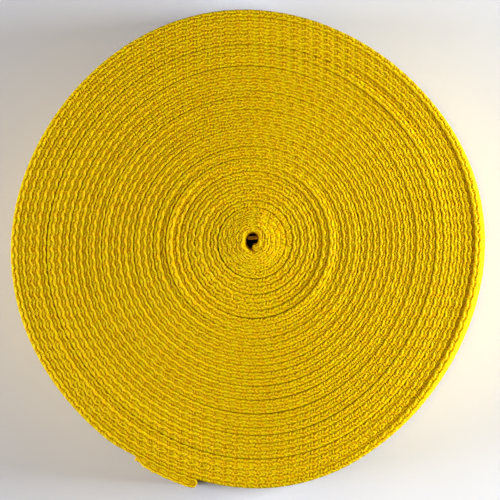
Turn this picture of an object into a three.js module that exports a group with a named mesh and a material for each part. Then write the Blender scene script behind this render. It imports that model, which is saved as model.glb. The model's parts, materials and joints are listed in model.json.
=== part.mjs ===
// A flat woven belt tape, rolled up on itself and standing on one edge.
// Millimetres and degrees. The roll's axis is Z, and the roll stands on its lower edges at z = 0.
// The tape runs outwards anticlockwise, seen from above, from the hole in the middle to a hemmed end.
// The roll is built from groups of turns that can telescope, and from a last turn cut into short
// runs, each hinged to the one before it, which peel off the roll and straighten.

import * as THREE from "three";

// The tape.
const TAPE_WIDTH = 40;
const TAPE_THICKNESS = 0.55;

// The hole in the middle of the roll.
const HOLE_RADIUS = 0.35;

// Each group of turns, from the hole outwards: how many turns, and the slack between two of them.
const HEART_TURNS = 5;
const HEART_SLACK = 0.17;
const LOOSE_TURNS = 6;
const LOOSE_SLACK = 0.4;
const PROUD_TURNS = 1;
const PROUD_SLACK = 0.25;
const MIDDLE_GROUPS = 3;
const MIDDLE_TURNS = 5;
const MIDDLE_SLACK = 0.25;
const OUTER_TURNS = 4;
const BASE_TURNS = 3;
const OUTER_SLACK = 0.38;

// How far the proud turn stands above the others.
const PROUD_LIFT = 0.6;

// The centre of a turn lies off the hole by this share of the turn's radius.
const DRIFT_X = -0.0158;
const DRIFT_Y = -0.0448;

// The last turn, its runs and its hemmed end.
const TIP_ANGLE = -103;
const RUNS = 12;
const HEM_LENGTH = 8.3;
const HEM_PLY_GAP = 0.06;

// The gap between the ends of two neighbouring lengths of tape.
const CUT_GAP = 0.3;

// The seam across the hem: its distance from the flap's cut edge, and its threads.
const SEAM_FROM_EDGE = 2.3;
const SEAM_MARGIN = 1.5;
const THREAD_WIDTH = 0.5;
const THREAD_HEIGHT = 0.18;
const THREAD_GAP = 0.06;

// Facets in a full turn: small turns take fewer and the hem more, and all corners share their rays.
const SMALL_TURN_FACETS = 12;
const LARGE_TURN_FACETS = 24;
const HEM_TURN_FACETS = 72;
const FOLD_FACETS = 6;

const TURN = 360;
const rad = THREE.MathUtils.degToRad;

const yellow = { color: 0xd9ad00, roughness: 0.8, metalness: 0 };
const threadYellow = { color: 0xe6bd12, roughness: 0.6, metalness: 0 };

const belt = new THREE.Group();

// A point of the roll at an angle, at a distance from its own turn's middle line.
function rollPoint(angle, turnRadius, offset) {
  const reach = turnRadius + offset;
  return new THREE.Vector2(
    turnRadius * DRIFT_X + reach * Math.cos(rad(angle)),
    turnRadius * DRIFT_Y + reach * Math.sin(rad(angle)),
  );
}

// A length of the spiral: angles in degrees, and the turn's radius at its start.
class Stretch {
  constructor(startAngle, turns, startRadius, slack) {
    this.startAngle = startAngle;
    this.endAngle = startAngle + turns * TURN;
    this.startRadius = startRadius;
    this.pitch = TAPE_THICKNESS + slack;
  }

  radiusAt(angle) {
    return this.startRadius + ((angle - this.startAngle) / TURN) * this.pitch;
  }

  get endRadius() {
    return this.radiusAt(this.endAngle);
  }

  point(angle, offset) {
    return rollPoint(angle, this.radiusAt(angle), offset);
  }
}

// The angle that a length along the tape spans at a radius.
function arcAngle(length, radius) {
  return THREE.MathUtils.radToDeg(length / radius);
}

// Corner angles from start to end, with every facet corner between them on a shared ray.
function cornerAngles(start, end, facets) {
  const step = TURN / facets;
  const first = Math.floor((start - TIP_ANGLE) / step) + 1;
  const last = Math.ceil((end - TIP_ANGLE) / step) - 1;
  const corners = [start];
  for (let i = first; i <= last; i += 1) {
    const corner = TIP_ANGLE + i * step;
    const clear = Math.min(corner - start, end - corner);
    if (clear > step / 10) {
      corners.push(corner);
    }
  }
  corners.push(end);
  return corners;
}

// A closed solid of an outline in the plan, standing from the lower edge to the upper one.
function standingSolid(outline, height) {
  const shape = new THREE.Shape(outline);
  return new THREE.ExtrudeGeometry(shape, { depth: height, bevelEnabled: false, steps: 1 });
}

function addPiece(name, geometry, look, lift) {
  const material = new THREE.MeshStandardMaterial(look);
  const piece = new THREE.Mesh(geometry, material);
  piece.name = name;
  piece.position.z = lift;
  belt.add(piece);
}

// A plain length of tape between two angles of a stretch, cut short by half a gap at each end.
function tapeOutline(stretch, start, end, facets) {
  const from = start + arcAngle(CUT_GAP / 2, stretch.radiusAt(start));
  const to = end - arcAngle(CUT_GAP / 2, stretch.radiusAt(end));
  const corners = cornerAngles(from, to, facets);
  const outside = corners.map((angle) => stretch.point(angle, TAPE_THICKNESS / 2));
  const inside = corners.map((angle) => stretch.point(angle, -TAPE_THICKNESS / 2));
  return outside.concat(inside.reverse());
}

function addTurns(name, stretch, facets, lift) {
  const outline = tapeOutline(stretch, stretch.startAngle, stretch.endAngle, facets);
  addPiece(name, standingSolid(outline, TAPE_WIDTH), yellow, lift);
}

// The groups of turns, listed from the hole outwards.
const groups = [
  { name: "heart_turns", turns: HEART_TURNS, slack: HEART_SLACK, facets: SMALL_TURN_FACETS, lift: 0 },
  { name: "loose_turns", turns: LOOSE_TURNS, slack: LOOSE_SLACK, facets: SMALL_TURN_FACETS, lift: 0 },
  { name: "proud_turn", turns: PROUD_TURNS, slack: PROUD_SLACK, facets: LARGE_TURN_FACETS, lift: PROUD_LIFT },
];
for (let i = 1; i <= MIDDLE_GROUPS; i += 1) {
  const name = `middle_turns_${i}`;
  groups.push({ name, turns: MIDDLE_TURNS, slack: MIDDLE_SLACK, facets: LARGE_TURN_FACETS, lift: 0 });
}
groups.push(
  { name: "outer_turns", turns: OUTER_TURNS, slack: OUTER_SLACK, facets: LARGE_TURN_FACETS, lift: 0 },
  { name: "base_turns", turns: BASE_TURNS, slack: OUTER_SLACK, facets: LARGE_TURN_FACETS, lift: 0 },
);

const turnsInGroups = groups.reduce((sum, group) => sum + group.turns, 0);
let angle = TIP_ANGLE - TURN * (turnsInGroups + 1);
let radius = HOLE_RADIUS + TAPE_THICKNESS / 2;
for (const group of groups) {
  const stretch = new Stretch(angle, group.turns, radius, group.slack);
  addTurns(group.name, stretch, group.facets, group.lift);
  angle = stretch.endAngle;
  radius = stretch.endRadius;
}

// The last turn: short runs of tape, from the roll to the hemmed one.
const lastTurn = new Stretch(angle, 1, radius, OUTER_SLACK);
const runSpan = TURN / RUNS;
for (let i = 1; i < RUNS; i += 1) {
  const start = lastTurn.startAngle + (i - 1) * runSpan;
  const outline = tapeOutline(lastTurn, start, start + runSpan, LARGE_TURN_FACETS);
  const name = `peel_run_${String(i).padStart(2, "0")}`;
  addPiece(name, standingSolid(outline, TAPE_WIDTH), yellow, 0);
}

// The hemmed run: it ends in a fold, and its flap lies back on its outer face.
const plyPitch = TAPE_THICKNESS + HEM_PLY_GAP;
const foldReach = plyPitch / 2 + TAPE_THICKNESS / 2;
const tipRadius = lastTurn.endRadius;
const foldAngle = lastTurn.endAngle - arcAngle(foldReach, tipRadius);
const flapEndAngle = lastTurn.endAngle - arcAngle(HEM_LENGTH, tipRadius);

// The fold, as a half circle of a given radius about the middle of the two plies.
function foldCurve(curveRadius) {
  const middle = lastTurn.point(foldAngle, plyPitch / 2);
  const points = [];
  for (let i = 1; i < FOLD_FACETS; i += 1) {
    const turn = rad(foldAngle + 180 - (i * 180) / FOLD_FACETS);
    const arm = new THREE.Vector2(Math.cos(turn), Math.sin(turn)).multiplyScalar(curveRadius);
    points.push(middle.clone().add(arm));
  }
  return points;
}

function hemOutline() {
  const runStart = lastTurn.endAngle - runSpan;
  const start = runStart + arcAngle(CUT_GAP / 2, lastTurn.radiusAt(runStart));
  const ply = cornerAngles(start, foldAngle, HEM_TURN_FACETS);
  const flap = cornerAngles(flapEndAngle, foldAngle, HEM_TURN_FACETS);
  const half = TAPE_THICKNESS / 2;
  const plyInside = ply.map((corner) => lastTurn.point(corner, -half));
  const plyOutside = ply.map((corner) => lastTurn.point(corner, half));
  const flapInside = flap.map((corner) => lastTurn.point(corner, plyPitch - half));
  const flapOutside = flap.map((corner) => lastTurn.point(corner, plyPitch + half));
  return [
    ...plyInside,
    ...foldCurve(plyPitch / 2 + half),
    ...flapOutside.reverse(),
    ...flapInside,
    ...foldCurve(plyPitch / 2 - half).reverse(),
    ...plyOutside.reverse(),
  ];
}
addPiece("outer_end_hem", standingSolid(hemOutline(), TAPE_WIDTH), yellow, 0);

// A seam thread: a low bar across the tape, on one face of the hem.
function addThread(name, faceOffset, side) {
  const seamAngle = lastTurn.endAngle - arcAngle(HEM_LENGTH - SEAM_FROM_EDGE, tipRadius);
  const across = arcAngle(THREAD_WIDTH / 2, tipRadius);
  const near = faceOffset + side * THREAD_GAP;
  const far = near + side * THREAD_HEIGHT;
  const outline = [
    lastTurn.point(seamAngle - across, near),
    lastTurn.point(seamAngle + across, near),
    lastTurn.point(seamAngle + across / 2, far),
    lastTurn.point(seamAngle - across / 2, far),
  ];
  const solid = standingSolid(outline, TAPE_WIDTH - 2 * SEAM_MARGIN);
  addPiece(name, solid, threadYellow, SEAM_MARGIN);
}
addThread("hem_needle_thread", plyPitch + TAPE_THICKNESS / 2, 1);
addThread("hem_bobbin_thread", -TAPE_THICKNESS / 2, -1);

// The origin is the middle of the whole box's underside.
const box = new THREE.Box3().setFromObject(belt);
const middle = box.getCenter(new THREE.Vector3());
belt.position.set(-middle.x, -middle.y, -box.min.z);
belt.updateMatrixWorld(true);

export default belt;
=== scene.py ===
"""A rolled belt of yellow woven tape, seen from above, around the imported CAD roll.

The tape is one path from the hole to the folded outer end. Every piece is a length of that path, with its
flat body, the yarns that weave along its two edges and the weft threads that turn round them.
"""

import json
import math

import bpy
import numpy as np
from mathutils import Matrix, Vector

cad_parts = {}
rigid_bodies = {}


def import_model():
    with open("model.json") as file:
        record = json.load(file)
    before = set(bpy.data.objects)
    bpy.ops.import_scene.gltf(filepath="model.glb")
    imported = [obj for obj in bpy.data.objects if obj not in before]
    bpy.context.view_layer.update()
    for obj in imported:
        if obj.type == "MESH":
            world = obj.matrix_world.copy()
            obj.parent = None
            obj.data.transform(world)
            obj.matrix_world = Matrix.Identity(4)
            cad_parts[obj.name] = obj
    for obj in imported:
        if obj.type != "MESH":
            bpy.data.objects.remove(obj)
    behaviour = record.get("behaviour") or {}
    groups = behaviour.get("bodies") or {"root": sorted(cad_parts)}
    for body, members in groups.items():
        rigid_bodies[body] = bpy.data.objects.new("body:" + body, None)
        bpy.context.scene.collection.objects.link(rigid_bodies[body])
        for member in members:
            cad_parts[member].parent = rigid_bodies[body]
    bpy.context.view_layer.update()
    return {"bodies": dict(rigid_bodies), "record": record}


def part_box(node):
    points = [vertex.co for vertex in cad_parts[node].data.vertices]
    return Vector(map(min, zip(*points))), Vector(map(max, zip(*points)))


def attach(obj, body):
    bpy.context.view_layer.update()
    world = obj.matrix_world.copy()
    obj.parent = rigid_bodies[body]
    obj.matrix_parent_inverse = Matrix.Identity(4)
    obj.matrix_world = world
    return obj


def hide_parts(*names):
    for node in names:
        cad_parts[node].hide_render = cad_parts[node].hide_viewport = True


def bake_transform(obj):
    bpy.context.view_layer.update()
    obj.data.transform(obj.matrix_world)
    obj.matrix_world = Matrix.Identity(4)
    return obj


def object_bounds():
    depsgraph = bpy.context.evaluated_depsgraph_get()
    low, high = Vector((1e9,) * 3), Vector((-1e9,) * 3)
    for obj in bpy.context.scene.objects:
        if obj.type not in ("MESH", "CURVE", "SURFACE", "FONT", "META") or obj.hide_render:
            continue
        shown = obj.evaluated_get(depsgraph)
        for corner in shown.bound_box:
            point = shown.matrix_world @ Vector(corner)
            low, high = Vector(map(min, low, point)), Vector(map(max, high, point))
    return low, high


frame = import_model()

MM = 0.001

# ------------------------------------------------------------------ the roll, as the CAD winds it, in mm
TAPE_WIDTH = (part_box("base_turns")[1][2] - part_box("base_turns")[0][2]) / MM
TAPE_THICKNESS = 0.55
HOLE_RADIUS = 0.35
DRIFT = (-0.0158, -0.0448)  # how far a turn's centre has moved, as a share of its radius
TIP_ANGLE = -103.0  # degrees
# (body, its CAD node, turns, slack between two turns), from the hole outwards
COILS = (
    ("heart_coil", "heart_turns", 5, 0.17),
    ("loose_coil", "loose_turns", 6, 0.4),
    ("proud_coil", "proud_turn", 1, 0.25),
    ("middle_coil_1", "middle_turns_1", 5, 0.25),
    ("middle_coil_2", "middle_turns_2", 5, 0.25),
    ("middle_coil_3", "middle_turns_3", 5, 0.25),
    ("outer_coil", "outer_turns", 4, 0.38),
    ("base_coil", "base_turns", 3, 0.38),
)
LAST_SLACK = COILS[-1][3]
RUNS = sum(name.startswith("peel_") for name in frame["bodies"])
SEAM_FROM_EDGE = 2.3  # from the flap's cut edge

# ------------------------------------------------------------------ what differs from the CAD, in mm
INNER_END = ((0.80, 0.30), (-0.80, 0.20))  # the tape's first end lies straight across the hole
ROUND_RADIUS = 8  # turns smaller than this are round
# waves of the outline: how many go round, their height as a share of the radius, and their phase
OUTLINE_WAVES = ((2, -0.0094, 0.0), (3, 0.0057, 2.05), (4, 0.0093, 0.69))
TIP_BACK = 0.5  # from the CAD's tip to where the fold starts to turn
HEM_LENGTH = 7.9 - TIP_BACK
HEM_PITCH = 0.60  # from one ply of the hem to the other

# ------------------------------------------------------------------ the yarns, in mm
WAVE = 1.46  # one wave of an edge yarn
WARP_STEPS = (6, 8)  # rings of an edge yarn in one wave, at the underside and on top
PICK = WAVE / 4  # from one weft thread to the next
WARP_SPACING = 0.42  # from one lengthwise yarn to the next
# shares of the pitch: how far the two edge yarns stand apart, swing, and are thick
YARN_SPREAD = 0.24
YARN_SWING = 0.10
YARN_THICK = 0.145
YARN_RISE = 0.07  # how far an edge yarn rises and dips, in mm
YARN_DEPTH = 0.20  # from the tape's edge to the middle of its yarns
RIBBED_DEPTH = 0.14  # how much deeper they lie where the weft shows as ribs
EDGE_TILT = 0.075  # how far the edge slopes down from the hole outwards, each way from its middle
YARN_FLAT = 0.72  # the yarns are pressed a little flat
# shares of the pitch: how thick a weft thread is, and how far it reaches to each side of its yarn
WEFT_THICK = 0.075
WEFT_REACH = 0.21
RIBBED_REACH = 0.24  # how much further it reaches where it shows as a rib
WEFT_DEPTH = 0.34  # how deep a weft thread's ends lie
WEFT_RISE = 0.27  # how far its middle stands above them
WEFT_SLANT = 0.12  # how far along the tape it slants to each side
BODY_SHARE = 0.49  # half the flat tape's thickness, as a share of the pitch

FIRST_HINGE = {joint["name"]: joint for joint in frame["record"]["behaviour"]["joints"]}["peel"]["pos_m"]


def smooth(x):
    """0 to 1, easing in and out."""
    x = np.clip(x, 0.0, 1.0)
    return x * x * (3 - 2 * x)


def bump_at(x, middle, reach):
    """A smooth hump of height 1 round a middle."""
    return np.exp(-(((x - middle) / reach) ** 2))


class Wander:
    """A smooth random line from -1 to 1 through evenly spaced values, the same on every run."""

    def __init__(self, seed, length, step):
        count = int(length / step) + 3
        self.values = np.random.default_rng(seed).uniform(-1.0, 1.0, count)
        self.step = step

    def __call__(self, x):
        place = np.clip(np.asarray(x, float) / self.step, 0, len(self.values) - 2.001)
        first = place.astype(int)
        part = smooth(place - first)
        return self.values[first] * (1 - part) + self.values[first + 1] * part


class TapePath:
    """The middle line of the tape, in plan, as a function of the length along it."""

    def __init__(self):
        turns, radii = [0.0], [HOLE_RADIUS + TAPE_THICKNESS / 2]
        for _, _, count, slack in COILS:
            turns.append(turns[-1] + count)
            radii.append(radii[-1] + count * (TAPE_THICKNESS + slack))
        turns.append(turns[-1] + 1)
        radii.append(radii[-1] + TAPE_THICKNESS + LAST_SLACK)
        self.knot_turns, self.knot_radii = np.array(turns), np.array(radii)
        self.turns = turns[-1]
        self.base_turn = turns[-2]
        last = self.turns - TIP_BACK / (2 * math.pi * radii[-1])
        t = np.linspace(0, last, int(self.turns * 1440) + 1)
        plan = self.spiral(t)
        lead = np.linspace(*INNER_END, 8)
        self.end_s = self.lengths(lead)[-1]
        self.lead_s = self.lengths(np.concatenate([lead, plan[:1]]))[-1]
        along = self.lengths(plan) + self.lead_s
        self.turn_t, self.turn_s = t, along
        self.tip_s = along[-1]
        plan = self.add_fold(np.concatenate([lead, plan]) + self.shift())
        self.fold_s = self.tip_s + math.pi * HEM_PITCH / 2
        self.s = self.lengths(plan)
        self.x, self.y = plan[:, 0], plan[:, 1]
        run = np.gradient(plan, self.s, axis=0)
        run /= np.linalg.norm(run, axis=1)[:, None]
        self.tx, self.ty = run[:, 0], run[:, 1]
        self.length = self.s[-1]

    @staticmethod
    def lengths(plan):
        return np.concatenate([[0], np.cumsum(np.linalg.norm(np.diff(plan, axis=0), axis=1))])

    def radius(self, t):
        return np.interp(t, self.knot_turns, self.knot_radii)

    def angle(self, t):
        return np.radians(TIP_ANGLE) + (t - self.turns) * 2 * math.pi

    def spiral(self, t, offset=0.0):
        radius, angle = self.radius(t), self.angle(t)
        arm = radius * self.out_of_round(angle, radius) + offset
        return np.stack(
            [radius * DRIFT[0] + arm * np.cos(angle), radius * DRIFT[1] + arm * np.sin(angle)], axis=-1
        )

    @staticmethod
    def out_of_round(angle, radius):
        """The outer turns are slightly out of round."""
        share = smooth((radius - ROUND_RADIUS) / 18)
        waves = sum(height * np.cos(count * angle - phase) for count, height, phase in OUTLINE_WAVES)
        return 1 + share * waves

    def shift(self):
        """From the drawing's own centre to the frame's origin, at the first peel hinge."""
        t = np.array([self.base_turn])
        radius, angle = self.radius(t), self.angle(t)
        arm = radius + TAPE_THICKNESS / 2
        place = np.array(
            [(radius * DRIFT[0] + arm * np.cos(angle))[0], (radius * DRIFT[1] + arm * np.sin(angle))[0]]
        )
        return np.array(FIRST_HINGE[:2]) / MM - place

    def add_fold(self, plan):
        """The outer end turns outwards on itself and lies back on the tape."""
        run = plan[-1] - plan[-2]
        run /= np.linalg.norm(run)
        out = np.array([run[1], -run[0]])
        fold = HEM_PITCH / 2
        middle = plan[-1] + out * fold
        turn = np.linspace(0, math.pi, 40)[1:]
        curve = middle + np.outer(-np.cos(turn), out) * fold + np.outer(np.sin(turn), run) * fold
        back = plan[::-1]
        steps = self.lengths(back)
        back = back[(steps > 0.02) & (steps < HEM_LENGTH)]
        way = np.gradient(back, axis=0)
        way /= np.linalg.norm(way, axis=1)[:, None]
        lift = np.stack([-way[:, 1], way[:, 0]], axis=1)
        return np.concatenate([plan, curve, back + lift * HEM_PITCH])

    def s_of(self, t):
        return np.interp(t, self.turn_t, self.turn_s)

    def t_of(self, s):
        return np.interp(s, self.turn_s, self.turn_t)

    def at(self, s, offset=0.0):
        """x and y at a length along the tape and an offset to its outer side."""
        x, y = np.interp(s, self.s, self.x), np.interp(s, self.s, self.y)
        tx, ty = np.interp(s, self.s, self.tx), np.interp(s, self.s, self.ty)
        return x + offset * ty, y - offset * tx


path = TapePath()
TURNS = path.turns


# ------------------------------------------------------------------ how each turn lies
wander_lift = Wander(11, TURNS, 0.31)
wander_slow = Wander(12, TURNS, 1.3)
wander_fine = Wander(13, TURNS * 12, 0.4)
wander_side = Wander(14, TURNS, 0.17)

# lifts are in mm, and middles and reaches in turns
LEAST_LIFT = 0.03
BASE_LIFT = 0.06
BOWL_LIFT = 0.75  # the inner turns stand higher than the outer ones
WANDER_LIFT = 0.06
CALM_TURNS = 3.2  # over which the wander fades out at the rim
PROUD_TURN = (11.0, 12.0)  # the start and end of the turn that stands proud
PROUD_LIFT = 0.15
DOME_LIFT = 0.9
DOME_TURNS = 6.5
END_DROP = 1.3  # the inner end lies lower than the turns round it
DIP_DEPTH = 0.10  # the loose turns lie a little lower
DIP_MIDDLE = 9.6
DIP_REACH = 1.6
# how the turns round the hole lean to it, and how far down and out that reaches
MOUTH_LEAN = 0.20
MOUTH_UNEVEN = 0.28
MOUTH_TURNS = 5.0
MOUTH_DEPTH = 1.5
# how the outer turns lean out at the foot and in at the top
FLARE_FOOT = 0.85
FLARE_TOP = 0.55
FLARE_TURNS = 3.2
# how far the hem is pressed to the roll, and its flap's cut edge to the ply under it
HEM_SINK = 0.16
CUT_SINK = 0.22
CUT_SINK_LENGTH = 1.5
# directions in plan: degrees, and how sharply the effect falls off to the sides
RIM_SIDE = (-15, 3)
CREASE_SIDE = (52, 24)
MOUTH_SIDE = (200, 2)
FLARE_SIDE = (-8, 2)
FAR_FLARE_SIDE = (215, 5)
RIBBED_SIDE = (25, 3)


def facing(angle, degrees, power):
    """1 where the roll faces a direction in plan, falling to 0 behind it."""
    return (0.5 + 0.5 * np.cos(angle - math.radians(degrees))) ** power


END_SHARE = 0.62  # the inner end is thinner than the wound tape
PRESSED_LENGTH = 0.9  # over which the flap's cut edge is pressed to half its thickness


def pitch_at(s):
    """From one turn to the next, which the tape's edge nearly fills."""
    t = path.t_of(s)
    angle = path.angle(t)
    outer = np.where(t < TURNS - 1, path.radius(t + 1) - path.radius(t), TAPE_THICKNESS + LAST_SLACK)
    inner = np.where(t > 1, path.radius(t) - path.radius(t - 1), COILS[0][3] + TAPE_THICKNESS)
    value = (outer + inner) / 2 * (1 + DRIFT[0] * np.cos(angle) + DRIFT[1] * np.sin(angle))
    value = value * (END_SHARE + (1 - END_SHARE) * wound_at(s))
    pressed = 1 - 0.5 * smooth((s - path.length + PRESSED_LENGTH) / PRESSED_LENGTH)
    return value * (1 - hem_at(s)) + HEM_PITCH * pressed * hem_at(s)


def wound_at(s):
    """0 where the inner end crosses the hole and 1 from the first turn on."""
    return smooth((s - path.lead_s + 0.4) / 0.8)


def hem_at(s):
    """0 along the roll and 1 in the hem, where the two plies are pressed thin."""
    return smooth((s - path.tip_s + 12) / 4)


def lift_at(s):
    """How high a point of the tape's edge stands above its lowest place."""
    t = path.t_of(s)
    angle = path.angle(t)
    low, high = PROUD_TURN
    proud = smooth((t - low + 0.15) / 0.3) * smooth((high + 0.15 - t) / 0.3)
    dome = DOME_LIFT * (1 - smooth(t / DOME_TURNS)) - END_DROP * (1 - wound_at(s))
    dip = DIP_DEPTH * bump_at(t, DIP_MIDDLE, DIP_REACH)
    ease = smooth((TURNS - 0.3 - t) / CALM_TURNS)
    uneven = (WANDER_LIFT * wander_lift(t) + WANDER_LIFT * wander_slow(t)) * ease
    base = BASE_LIFT + BOWL_LIFT * (1 - (t / TURNS) ** 2) + uneven
    # the outermost turn stands above the two inside it at the right
    rim = facing(angle, *RIM_SIDE) * (0.45 * smooth(t - TURNS + 1.3) - 0.25 * bump_at(t, TURNS - 2.0, 0.8))
    # one turn is creased up and the next one down
    creased = 0.30 * bump_at(t, TURNS - 5.57, 0.25) - 0.17 * bump_at(t, TURNS - 4.57, 0.3)
    crease = facing(angle, *CREASE_SIDE) * creased
    return np.maximum(base + proud * PROUD_LIFT + dome - dip + rim + crease, LEAST_LIFT)


def lean_at(s, z):
    """How far the tape's edge leans to the hole near the top, and the outer turns flare at the foot."""
    t = path.t_of(s)
    angle = path.angle(t)
    below_top = np.maximum(TAPE_WIDTH - z, 0)
    mouth = MOUTH_LEAN + MOUTH_UNEVEN * np.abs(np.sin(angle)) + MOUTH_UNEVEN * facing(angle, *MOUTH_SIDE)
    funnel = mouth * (1 - smooth(t / MOUTH_TURNS)) * np.exp(-below_top / MOUTH_DEPTH)
    flared = facing(angle, *FLARE_SIDE) + 0.5 * facing(angle, *FAR_FLARE_SIDE)
    flare = smooth((t - TURNS + FLARE_TURNS) / 2.0) * flared
    height = z / TAPE_WIDTH
    side = 0.03 * wander_side(t)
    return (funnel + side + flare * (FLARE_FOOT * (1 - height) - FLARE_TOP * height)) * wound_at(s)


def ribbed_at(t):
    """Where the turns near the hole lean so far that the weft shows as ribs across them."""
    return facing(path.angle(t), *RIBBED_SIDE) * smooth((t - 1.0) / 1.0) * (1 - smooth((t - 5.0) / 1.5))


def place(s, offset, z):
    """The point of the tape at a length, an offset outwards and a height, all in mm, as metres."""
    x, y = path.at(s, offset)
    angle = path.angle(path.t_of(s))
    pressed = smooth((s - path.length + CUT_SINK_LENGTH) / CUT_SINK_LENGTH)
    out = lean_at(s, z) - HEM_SINK * hem_at(s) - CUT_SINK * pressed
    return np.stack([x + out * np.cos(angle), y + out * np.sin(angle), z + lift_at(s)], axis=-1) * MM


def stations(start, end, step):
    """Places along the tape, closer together where it bends sharply, with one just inside each cut end.

    Those two keep the caps' normals off the sides.
    """
    even = np.linspace(start, end, max(int(round((end - start) / step)), 1) + 1)
    sharp = np.concatenate(
        [
            np.arange(0, path.lead_s, 0.1),
            np.arange(path.lead_s, path.lead_s + 40, 0.33),
            np.linspace(path.tip_s - 0.3, path.fold_s + 0.3, 24),
        ]
    )
    sharp = sharp[(sharp > start + 0.03) & (sharp < end - 0.03)]
    return np.unique(np.concatenate([even, sharp, [start + 0.01, end - 0.01]]))


# ------------------------------------------------------------------ meshes
class Skin:
    """Collects tubes of quads and makes one object of them."""

    def __init__(self):
        self.points, self.uvs, self.corners, self.sizes, self.slots = [], [], [], [], []
        self.count = 0

    def tubes(self, points, uvs, slot):
        """points is (tubes, rings, sides, 3): each tube is closed round and capped at both ends."""
        many, rings, sides, _ = points.shape
        index = np.arange(many * rings * sides).reshape(many, rings, sides) + self.count
        after = np.roll(index, -1, axis=2)
        quads = np.stack([index[:, :-1], after[:, :-1], after[:, 1:], index[:, 1:]], axis=-1).reshape(-1, 4)
        first, last = index[:, 0, ::-1], index[:, -1]
        caps = np.concatenate([first, last])
        self.points.append(points.reshape(-1, 3))
        self.uvs.append(uvs.reshape(-1, 2))
        for faces in (quads, caps):
            self.corners.append(faces.ravel())
            self.sizes.append(np.full(len(faces), faces.shape[1], np.int32))
            self.slots.append(np.full(len(faces), slot, np.int32))
        self.count += many * rings * sides

    def build(self, name, materials):
        points, corners = np.concatenate(self.points), np.concatenate(self.corners).astype(np.int32)
        sizes = np.concatenate(self.sizes)
        mesh = bpy.data.meshes.new(name)
        mesh.vertices.add(len(points))
        mesh.vertices.foreach_set("co", points.astype(np.float32).ravel())
        mesh.loops.add(len(corners))
        mesh.loops.foreach_set("vertex_index", corners)
        mesh.polygons.add(len(sizes))
        starts = np.concatenate([[0], np.cumsum(sizes)[:-1]]).astype(np.int32)
        mesh.polygons.foreach_set("loop_start", starts)
        mesh.polygons.foreach_set("material_index", np.concatenate(self.slots))
        mesh.polygons.foreach_set("use_smooth", np.ones(len(sizes), bool))
        layer = mesh.uv_layers.new(name="tape")
        uvs = np.concatenate(self.uvs)[corners]
        layer.uv.foreach_set("vector", uvs.astype(np.float32).ravel())
        mesh.update(calc_edges=True)
        for material in materials:
            mesh.materials.append(material)
        thing = bpy.data.objects.new(name, mesh)
        bpy.context.scene.collection.objects.link(thing)
        return thing


BODY_HEIGHTS = np.array([0.27, 0.7, 2.0, 6.0, 20.0])  # rows of the flat tape, from an edge to its middle


def tape_body(skin, start, end):
    """The flat of the tape, as one closed strip."""
    rows = np.concatenate([BODY_HEIGHTS, (TAPE_WIDTH - BODY_HEIGHTS[:-1])[::-1]])
    s = stations(start, end, WAVE / 2)[:, None]
    half = pitch_at(s) * BODY_SHARE
    z = np.concatenate([rows, rows[::-1]])[None, :]
    side = np.concatenate([np.ones(len(rows)), -np.ones(len(rows))])[None, :]
    points = place(s + 0 * z, side * half, z + 0 * s)
    uvs = np.stack([s + 0 * z, z + 0 * s], axis=-1) * MM
    skin.tubes(points[None], uvs[None], 0)


def edge_height(depth, top):
    """The height of a point at a depth below the top edge or above the lower one."""
    return TAPE_WIDTH - depth if top else depth


def warp_yarn(skin, start, end, top, side, sides):
    """One of the two yarns of an edge. They swing together, and one dips where the other rises."""
    s = stations(start, end, WAVE / WARP_STEPS[top])[:, None]
    pitch = pitch_at(s) * (1 + 0.25 * hem_at(s))
    phase = 2 * math.pi * s / WAVE
    swing = YARN_SWING * pitch * (1 + 0.35 * wander_fine(s / 9.0))
    thick = YARN_THICK * pitch * (1 + 0.07 * np.sin(2 * phase + side) + 0.06 * wander_fine(s / 4.0 + side))
    offset = side * YARN_SPREAD * pitch + swing * np.sin(phase)
    slope = np.arctan(swing * 2 * math.pi / WAVE * np.cos(phase))
    ring = np.arange(sides)[None, :] * 2 * math.pi / sides
    ring = ring if top else -ring
    across, up = np.cos(ring), np.sin(ring)
    ribbed = ribbed_at(path.t_of(s))
    depth = YARN_DEPTH - YARN_RISE * side * np.cos(phase + 0.5) + RIBBED_DEPTH * ribbed + EDGE_TILT * side
    height = edge_height(depth, top)
    points = place(
        s - thick * across * np.sin(slope),
        offset + thick * across * np.cos(slope),
        height + YARN_FLAT * thick * (up if top else -up),
    )
    uvs = np.stack([s + 0 * ring, thick * (ring + 0 * s)], axis=-1) * MM
    skin.tubes(points[None], uvs[None], 1)


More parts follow.
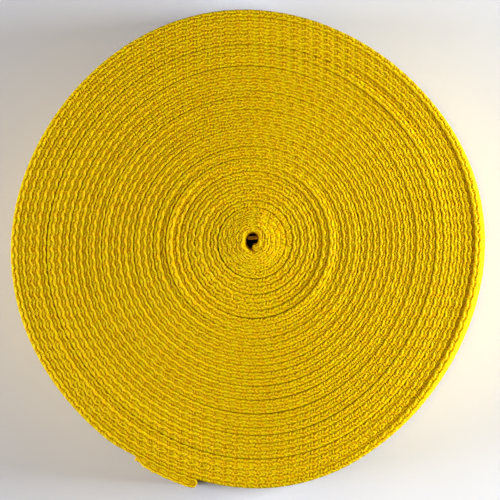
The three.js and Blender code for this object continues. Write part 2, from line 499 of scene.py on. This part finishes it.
def weft_turns(skin, start, end, top, strands, rings, sides, seed):
    """The weft threads, which turn over each edge yarn where it dips."""
    half = WAVE / 2
    first, last = int(math.ceil(start / half)), int(math.ceil(end / half))
    number = np.arange(first, last)
    draw = np.random.default_rng(seed)
    every = draw.normal(0, 1, (int(path.length / half) + 3, strands, 4))[number]
    gap = PICK if strands > 1 else 0.0
    middle = (number * half)[:, None] + (np.arange(strands) - (strands - 1) / 2)[None, :] * gap
    middle = np.clip(middle - 0.1 + every[..., 0] * 0.03, start + 0.2, end - 0.2).reshape(-1)
    every = every.reshape(-1, 4)
    side = np.where(np.repeat(number, strands) % 2 == 0, -1.0, 1.0)[:, None, None]
    u = np.linspace(0, 1, rings)[None, :, None]
    ring = (np.arange(sides) * 2 * math.pi / sides)[None, None, :]
    pitch = pitch_at(middle)[:, None, None]
    ribbed = ribbed_at(path.t_of(middle))[:, None, None]
    thick = pitch * (WEFT_THICK + 0.008 * every[:, 3, None, None])
    reach = pitch * (WEFT_REACH + RIBBED_REACH * ribbed + 0.02 * every[:, 1, None, None])
    rise = WEFT_RISE + 0.05 * ribbed + 0.03 * every[:, 2, None, None]
    along = middle[:, None, None] + WEFT_SLANT * side * np.cos(math.pi * u)
    offset = side * YARN_SPREAD * pitch * (1 - ribbed) + reach * np.cos(math.pi * u)
    depth = WEFT_DEPTH - rise * np.sin(math.pi * u) + EDGE_TILT * side
    point_s = along + thick * np.cos(ring)
    point_n = offset + thick * np.sin(ring) * np.cos(math.pi * u)
    deep = depth - thick * np.sin(ring) * np.sin(math.pi * u)
    if top:
        points = place(point_s, point_n, TAPE_WIDTH - deep)
    else:
        points = place(point_s, point_n, deep)[:, :, ::-1]
    uvs = np.stack([along + u * 0.001 + 0 * ring, 3 * u + 0 * ring + 0 * along], axis=-1) * MM
    skin.tubes(points, uvs, 2)


FRAY_MARGIN = 0.5
FRAY_THICK = 0.13
FRAY_OFFSET = 0.16  # the yarns' ends stand to either side of the tape's middle in turn


def frayed_edge(skin):
    """Short ends of the lengthwise yarns stick out of the flap's cut edge."""
    count = int((TAPE_WIDTH - 2 * FRAY_MARGIN) / WARP_SPACING)
    draw = np.random.default_rng(31).normal(0, 1, (count, 4))
    z = np.linspace(FRAY_MARGIN, TAPE_WIDTH - FRAY_MARGIN, count) + 0.05 * draw[:, 0]
    reach = (0.16 + 0.13 * np.abs(draw[:, 1]))[:, None, None]
    u = np.array([-1.0, 0.1, 0.6, 1.0])[None, :, None]
    ring = np.linspace(0, 2 * math.pi, 4, endpoint=False)[None, None, :]
    thick = FRAY_THICK * np.where(u < 0.8, 1.0, 0.55) + 0 * ring
    bend = 0.09 * draw[:, 2, None, None] * np.maximum(u, 0)
    core = place(np.full(count, path.length), FRAY_OFFSET * np.where(np.arange(count) % 2, 1, -1), z)
    along = np.array([path.tx[-1], path.ty[-1], 0.0])
    across = np.array([-path.ty[-1], path.tx[-1], 0.0])
    forward = (u * reach + 0 * ring)[..., None] * along
    sideways = (thick * np.cos(ring) + bend)[..., None] * across
    upward = (thick * np.sin(ring) + 0.05 * draw[:, 3, None, None] * np.maximum(u, 0))[..., None]
    points = core[:, None, None, :] + (forward + sideways + upward * np.array([0.0, 0.0, 1.0])) * MM
    uvs = np.stack([u + 0 * ring + 0 * reach, ring + 0 * u + 0 * reach], axis=-1) * 0.3 * MM
    skin.tubes(points, uvs, 1)


def tape_length(name, start, end):
    """A length of the tape with both its edges."""
    skin = Skin()
    tape_body(skin, start, end)
    warp_yarn(skin, start, end, True, 1, 5)
    warp_yarn(skin, start, end, True, -1, 5)
    weft_turns(skin, start, end, True, 2, 5, 4, 21)
    warp_yarn(skin, start, end, False, 1, 3)
    warp_yarn(skin, start, end, False, -1, 3)
    weft_turns(skin, start, end, False, 1, 4, 3, 22)
    if end == path.length:
        frayed_edge(skin)
    piece = skin.build(name, [cotton_face, cotton_yarn, cotton_weft])
    return piece


def tape_piece(name, start, end):
    """A length of the tape."""
    piece = tape_length(name, start, end)
    return piece


STITCHES = 14
STITCH_STEPS = 10  # rings of the thread in one stitch
SEAM_MARGIN = 1.5
THREAD_RADIUS = 0.11
THREAD_SIDES = 6


def stitch_row(name, node, s, body):
    """A row of stitches across the tape, on the face that looks away from the other ply."""
    u = np.linspace(0, STITCHES, STITCHES * STITCH_STEPS + 1)
    part = np.abs(np.sin(math.pi * u))
    stand = np.minimum(part / 0.45, 1.0)
    face = float(pitch_at(np.array(s))) * BODY_SHARE
    offset = -(face - 0.10 + 0.19 * stand)
    z = SEAM_MARGIN + (TAPE_WIDTH - 2 * SEAM_MARGIN) * u / STITCHES
    sway = 0.05 * np.sin(u * 2.3) + 0.05 * np.sin(math.pi * u)
    ring = np.linspace(0, 2 * math.pi, THREAD_SIDES, endpoint=False)[None, :]
    points = place(
        s + sway[:, None] + THREAD_RADIUS * np.cos(ring),
        offset[:, None] - THREAD_RADIUS * np.sin(ring),
        z[:, None] + 0 * ring,
    )
    uvs = np.stack([z[:, None] + 0 * ring, THREAD_RADIUS * ring + 0 * z[:, None]], axis=-1) * MM
    skin = Skin()
    skin.tubes(points[None], uvs[None], 0)
    piece = skin.build(name, [seam_thread])
    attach(piece, body)
    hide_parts(node)
    return piece


# ------------------------------------------------------------------ materials
def new_material(name):
    material = bpy.data.materials.new(name)
    material.use_nodes = True
    nodes, links = material.node_tree.nodes, material.node_tree.links
    return material, nodes, links, nodes["Principled BSDF"]


def math_node(nodes, links, operation, first, second=None):
    node = nodes.new("ShaderNodeMath")
    node.operation = operation
    for socket, value in zip(node.inputs, (first, second)):
        if isinstance(value, (int, float)):
            socket.default_value = value
        elif value is not None:
            links.new(value, socket)
    return node.outputs[0]


def noise(nodes, links, scale, detail, coords):
    node = nodes.new("ShaderNodeTexNoise")
    node.inputs["Scale"].default_value = scale
    node.inputs["Detail"].default_value = detail
    links.new(coords, node.inputs["Vector"])
    return node.outputs["Fac"]


def colour_ramp(nodes, links, factor, stops):
    node = nodes.new("ShaderNodeValToRGB")
    ramp = node.color_ramp
    while len(ramp.elements) < len(stops):
        ramp.elements.new(0.5)
    for element, (position, colour) in zip(ramp.elements, stops):
        element.position = position
        element.color = (*colour, 1)
    links.new(factor, node.inputs["Fac"])
    return node.outputs["Color"]


# the yellow of the hollows, darkened to orange as painted shade, of the yarns, and of their tops, lightened
# as painted highlight
PAINTED_SHADE_YELLOW = (0.92, 0.44, 0.0)
GOLD = (0.945, 0.59, 0.0)
PAINTED_HIGHLIGHT_YELLOW = (0.98, 0.80, 0.0)


def cotton(name, painted_shade_scale, rough, shine, height, distance):
    """Yellow cotton: height(nodes, links, uv, coords) gives the relief, which also tints the colour:
    painted shade in the hollows and painted highlight on the tops.
    """
    material, nodes, links, shader = new_material(name)
    uv = nodes.new("ShaderNodeUVMap")
    uv.uv_map = "tape"
    coords = nodes.new("ShaderNodeTexCoord")
    relief = height(nodes, links, uv.outputs["UV"], coords.outputs["Object"])
    blotch = noise(nodes, links, 900.0, 3.0, coords.outputs["Object"])
    # the relief picks painted shade for low places and painted highlight for high ones; the noise blotches
    # add the cotton's own uneven tone
    painted_light_and_tone = math_node(nodes, links, "MULTIPLY", relief, 0.6)
    painted_light_and_tone = math_node(nodes, links, "ADD", painted_light_and_tone, math_node(nodes, links, "MULTIPLY", blotch, 0.45))
    # the first argument darkens the whole ramp, as painted shade on a darker copy of the cotton
    deep, gold, painted_highlight = (tuple(painted_shade_scale * part for part in colour) for colour in (PAINTED_SHADE_YELLOW, GOLD, PAINTED_HIGHLIGHT_YELLOW))
    colour = colour_ramp(nodes, links, painted_light_and_tone, ((0.15, deep), (0.5, gold), (0.9, painted_highlight)))
    links.new(colour, shader.inputs["Base Color"])
    bump = nodes.new("ShaderNodeBump")
    bump.inputs["Strength"].default_value = 0.8
    bump.inputs["Distance"].default_value = distance
    links.new(relief, bump.inputs["Height"])
    links.new(bump.outputs["Normal"], shader.inputs["Normal"])
    shader.inputs["Roughness"].default_value = rough
    shader.inputs["Specular IOR Level"].default_value = shine
    shader.inputs["Specular Tint"].default_value = (1.0, 0.95, 0.2, 1)
    return material


def wave(nodes, links, value, period):
    """0 to 1 and back, once a period, in metres."""
    turn = math_node(nodes, links, "MULTIPLY", value, 2 * math.pi / period)
    sine = math_node(nodes, links, "SINE", turn)
    return math_node(nodes, links, "ADD", math_node(nodes, links, "MULTIPLY", sine, 0.5), 0.5)


def weave_relief(nodes, links, uv, coords):
    """Warp yarns side by side, each going over and under the picks, one step on from the last."""
    split = nodes.new("ShaderNodeSeparateXYZ")
    links.new(uv, split.inputs[0])
    along, across = split.outputs[0], split.outputs[1]
    column = math_node(nodes, links, "DIVIDE", across, WARP_SPACING * MM)
    number = math_node(nodes, links, "FLOOR", column)
    parity = math_node(nodes, links, "MODULO", number, 2.0)
    sign = math_node(nodes, links, "SUBTRACT", math_node(nodes, links, "MULTIPLY", parity, 2.0), 1.0)
    turn = math_node(nodes, links, "MULTIPLY", along, 2 * math.pi / (WAVE * MM))
    weave = math_node(nodes, links, "MULTIPLY", math_node(nodes, links, "SINE", turn), sign)
    part = math_node(nodes, links, "FRACT", column)
    hump = math_node(nodes, links, "SINE", math_node(nodes, links, "MULTIPLY", part, math.pi))
    over = math_node(nodes, links, "ADD", math_node(nodes, links, "MULTIPLY", weave, 0.5), 0.5)
    warp = math_node(nodes, links, "MULTIPLY", over, hump)
    picks = wave(nodes, links, along, PICK * MM)
    weft = math_node(nodes, links, "MULTIPLY", picks, 0.35)
    top = math_node(nodes, links, "MAXIMUM", warp, weft)
    fibre = noise(nodes, links, 9000.0, 2.0, coords)
    return math_node(nodes, links, "ADD", top, math_node(nodes, links, "MULTIPLY", fibre, 0.25))


TWIST = 0.5  # one turn of a yarn's plies, in mm


def twist_relief(nodes, links, uv, coords):
    """The plies of a yarn, twisted round each other."""
    split = nodes.new("ShaderNodeSeparateXYZ")
    links.new(uv, split.inputs[0])
    turn = math_node(nodes, links, "MULTIPLY", split.outputs[0], 2 * math.pi / (TWIST * MM))
    around = math_node(nodes, links, "MULTIPLY", split.outputs[1], 2 * math.pi / (TWIST * MM))
    sine = math_node(nodes, links, "SINE", math_node(nodes, links, "ADD", turn, around))
    ply = math_node(nodes, links, "ADD", math_node(nodes, links, "MULTIPLY", sine, 0.3), 0.5)
    fibre = noise(nodes, links, 5000.0, 2.0, coords)
    return math_node(nodes, links, "ADD", ply, math_node(nodes, links, "MULTIPLY", fibre, 0.4))


# the face's colour is darkened to 0.88 as painted shade, since its sides take the full low light
cotton_face = cotton("cotton_face", 0.88, 0.85, 0.06, weave_relief, 0.12 * MM)
cotton_yarn = cotton("cotton_yarn", 1.0, 0.55, 0.5, twist_relief, 0.03 * MM)
cotton_weft = cotton("cotton_weft", 1.0, 0.55, 0.5, twist_relief, 0.02 * MM)
seam_thread = cotton("seam_thread", 1.0, 0.5, 0.3, twist_relief, 0.02 * MM)


# ------------------------------------------------------------------ camera, light and floor
CAMERA_HEIGHT = 1.2  # metres above the roll
SENSOR_WIDTH = 36
VIEW_SHARE = 1.053  # the view's width, as a share of the roll's
VIEW_CENTRE = (0.0002, 0.0001)
FLOOR_REACH = 1.2


def look(thing, target):
    """Turn a light to a point."""
    way = Vector(target) - thing.location
    thing.rotation_mode = "QUATERNION"
    thing.rotation_quaternion = way.to_track_quat("-Z", "Y")


def make_camera():
    low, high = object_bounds()
    camera = bpy.data.objects.new("camera", bpy.data.cameras.new("camera"))
    bpy.context.scene.collection.objects.link(camera)
    view_width = (high[0] - low[0]) * VIEW_SHARE
    camera.data.sensor_width = SENSOR_WIDTH
    camera.data.lens = SENSOR_WIDTH * CAMERA_HEIGHT / view_width
    camera.data.clip_start = 0.01
    camera.location = (*VIEW_CENTRE, high[2] + CAMERA_HEIGHT)
    camera.rotation_euler = (0, 0, 0)
    bpy.context.scene.camera = camera


def soft_light(name, place_at, target, size, watts, colour):
    light = bpy.data.lights.new(name, "AREA")
    light.shape = "RECTANGLE"
    light.size, light.size_y = size
    light.energy = watts
    light.color = colour
    thing = bpy.data.objects.new(name, light)
    thing.location = place_at
    bpy.context.scene.collection.objects.link(thing)
    look(thing, target)


def make_stage():
    mesh = bpy.data.meshes.new("floor")
    corners = [(x * FLOOR_REACH, y * FLOOR_REACH, 0) for x, y in ((-1, -1), (1, -1), (1, 1), (-1, 1))]
    mesh.from_pydata(corners, [], [(0, 1, 2, 3)])
    floor = bpy.data.objects.new("floor", mesh)
    floor.location.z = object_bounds()[0][2]
    material, nodes, links, shader = new_material("pale_paper")
    coords = nodes.new("ShaderNodeTexCoord")
    grain = noise(nodes, links, 60.0, 4.0, coords.outputs["Object"])
    paper = colour_ramp(nodes, links, grain, ((0.3, (0.70, 0.73, 0.82)), (0.7, (0.73, 0.76, 0.85))))
    links.new(paper, shader.inputs["Base Color"])
    shader.inputs["Roughness"].default_value = 0.8
    mesh.materials.append(material)
    bpy.context.scene.collection.objects.link(floor)
    soft_light("right_light", (0.21, 0.0, 0.105), (0, 0, 0.035), (0.10, 0.22), 1.06, (0.96, 0.98, 1.0))
    soft_light("left_light", (-0.31, -0.03, 0.135), (0, 0, 0.03), (0.16, 0.30), 1.42, (0.94, 0.94, 1.0))
    world = bpy.data.worlds.new("studio")
    bpy.context.scene.world = world
    world.use_nodes = True
    background = world.node_tree.nodes["Background"]
    background.inputs["Color"].default_value = (0.96, 0.96, 1.0, 1)
    background.inputs["Strength"].default_value = 0.04
    bpy.context.scene.view_settings.view_transform = "Standard"


make_camera()
make_stage()


# ------------------------------------------------------------------ the pieces of the tape
def snap(s):
    """The nearest whole wave of the edge yarns."""
    return round(s / WAVE) * WAVE


def middle_place(s):
    return place(np.array(s), np.array(0.0), np.array(TAPE_WIDTH / 2))


def blend(piece, start, end):
    tuple(middle_place(start))
    tuple(middle_place(end))
    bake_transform(piece)


def build_coils():
    """Each group of turns, and the half turn that joins it to the next one."""
    turn = 0.0
    start = path.lead_s
    bodies = [coil[0] for coil in COILS]
    inner_end = tape_length("tape_inner_end", 0.0, path.end_s)
    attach(inner_end, bodies[0])
    for i, (body, node, count, _) in enumerate(COILS):
        turn += count
        last = i == len(COILS) - 1
        end = snap(path.s_of(turn - (0.5 / RUNS if last else 0.25)))
        if end - start > WAVE:
            piece = tape_piece("tape_" + node, start, end)
            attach(piece, body)
            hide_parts(node)
        start = end
        if not last:
            end = snap(path.s_of(turn + 0.25))
            joint = tape_piece("tape_" + node + "_joint", start, end)
            blend(joint, start, end)
            start = end
    return start


def build_runs(start):
    """The last turn: a length of tape across each hinge, and the hemmed end."""
    bodies = ["base_coil"] + ["peel_%02d" % i for i in range(1, RUNS + 1)]
    for i in range(1, RUNS + 1):
        end = snap(path.s_of(path.base_turn + (i - 0.5) / RUNS))
        piece = tape_piece("tape_peel_%02d" % i, start, end)
        blend(piece, start, end)
        if i < RUNS:
            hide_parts("peel_run_%02d" % i)
        start = end
    from_fold = HEM_LENGTH - SEAM_FROM_EDGE
    rows = [
        stitch_row("hem_needle_stitches", "hem_needle_thread", path.length - SEAM_FROM_EDGE, bodies[-1]),
        stitch_row("hem_bobbin_stitches", "hem_bobbin_thread", path.tip_s - from_fold, bodies[-1]),
    ]
    piece = tape_piece("tape_hemmed_end", start, path.length)
    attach(piece, bodies[-1])
    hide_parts("outer_end_hem")


build_runs(build_coils())
